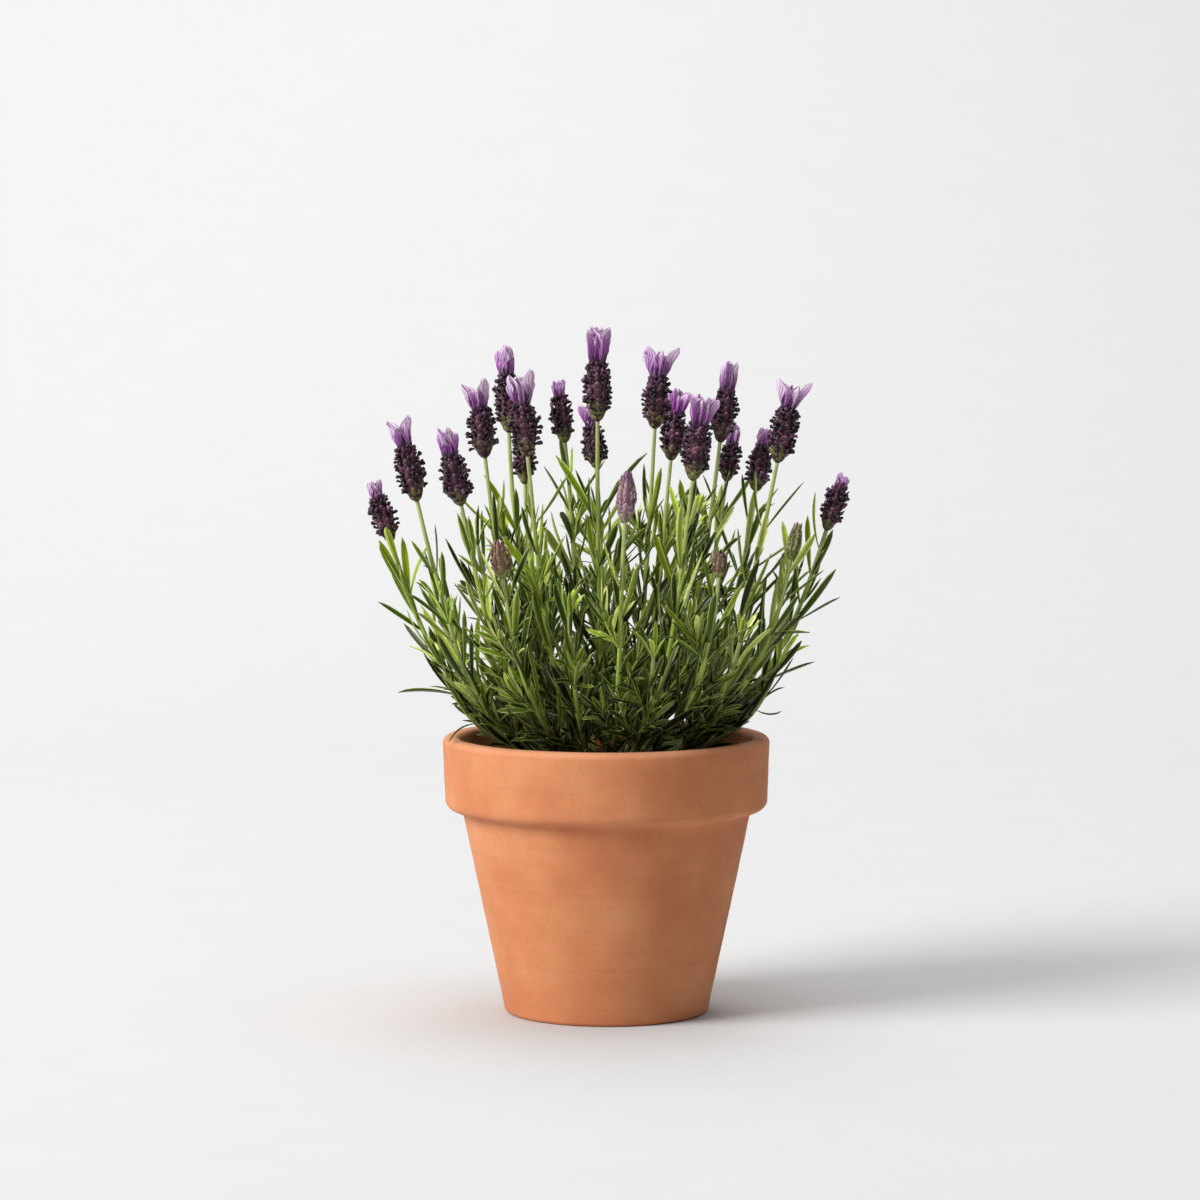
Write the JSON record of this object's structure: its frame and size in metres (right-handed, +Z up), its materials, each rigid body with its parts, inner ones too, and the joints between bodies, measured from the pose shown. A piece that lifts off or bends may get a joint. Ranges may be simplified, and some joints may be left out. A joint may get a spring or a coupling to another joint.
{
  "type": "potted lavender",
  "caption": "Bushy flowering Spanish lavender with dark spikes and violet tufts, growing in soil in a plain terracotta pot.",
  "frame": {"origin": "middle of the pot's foot, on the surface that it stands on", "axes": "+Z up along the pot's axis, -Y towards the front, +X to the right seen from the front"},
  "size_m": [0.1771, 0.1707, 0.2521],
  "materials": {
    "terracotta": "matte",
    "potting_soil": "matte",
    "green_shoot": "satin",
    "flower_spike": "matte",
    "flower_bud": "matte"
  },
  "bodies": {
    "root": {"pot": "terracotta", "soil": "potting_soil", "flower_stem_01": "green_shoot", "flower_stem_02": "green_shoot", "flower_stem_03": "green_shoot", "flower_stem_04": "green_shoot", "flower_stem_05": "green_shoot", "flower_stem_06": "green_shoot", "flower_stem_07": "green_shoot", "flower_stem_08": "green_shoot", "flower_stem_09": "green_shoot", "flower_stem_10": "green_shoot", "flower_stem_11": "green_shoot", "flower_stem_12": "green_shoot", "flower_stem_13": "green_shoot", "flower_stem_14": "green_shoot", "flower_stem_15": "green_shoot", "flower_stem_16": "green_shoot", "flower_stem_17": "green_shoot", "flower_stem_18": "green_shoot", "flower_stem_19": "green_shoot", "flower_stem_20": "green_shoot", "flower_stem_21": "green_shoot", "flower_stem_22": "green_shoot", "leafy_shoot_01": "green_shoot", "leafy_shoot_02": "green_shoot", "leafy_shoot_03": "green_shoot", "leafy_shoot_04": "green_shoot", "leafy_shoot_05": "green_shoot", "leafy_shoot_06": "green_shoot", "leafy_shoot_07": "green_shoot", "leafy_shoot_08": "green_shoot", "leafy_shoot_09": "green_shoot", "leafy_shoot_10": "green_shoot", "leafy_shoot_11": "green_shoot", "leafy_shoot_12": "green_shoot", "leafy_shoot_13": "green_shoot", "leafy_shoot_14": "green_shoot", "flower_head_01": "flower_spike", "flower_head_02": "flower_spike", "flower_head_03": "flower_spike", "flower_head_04": "flower_spike", "flower_head_05": "flower_spike", "flower_head_06": "flower_spike", "flower_head_07": "flower_spike", "flower_head_08": "flower_spike", "flower_head_09": "flower_spike", "flower_head_10": "flower_spike", "flower_head_11": "flower_spike", "flower_head_12": "flower_spike", "flower_head_13": "flower_spike", "flower_head_14": "flower_spike", "flower_head_15": "flower_spike", "flower_head_16": "flower_spike", "flower_head_17": "flower_spike", "flower_head_18": "flower_bud", "flower_head_19": "flower_spike", "flower_head_20": "flower_bud", "flower_head_21": "flower_bud", "flower_head_22": "flower_bud"}
  },
  "joints": []
}
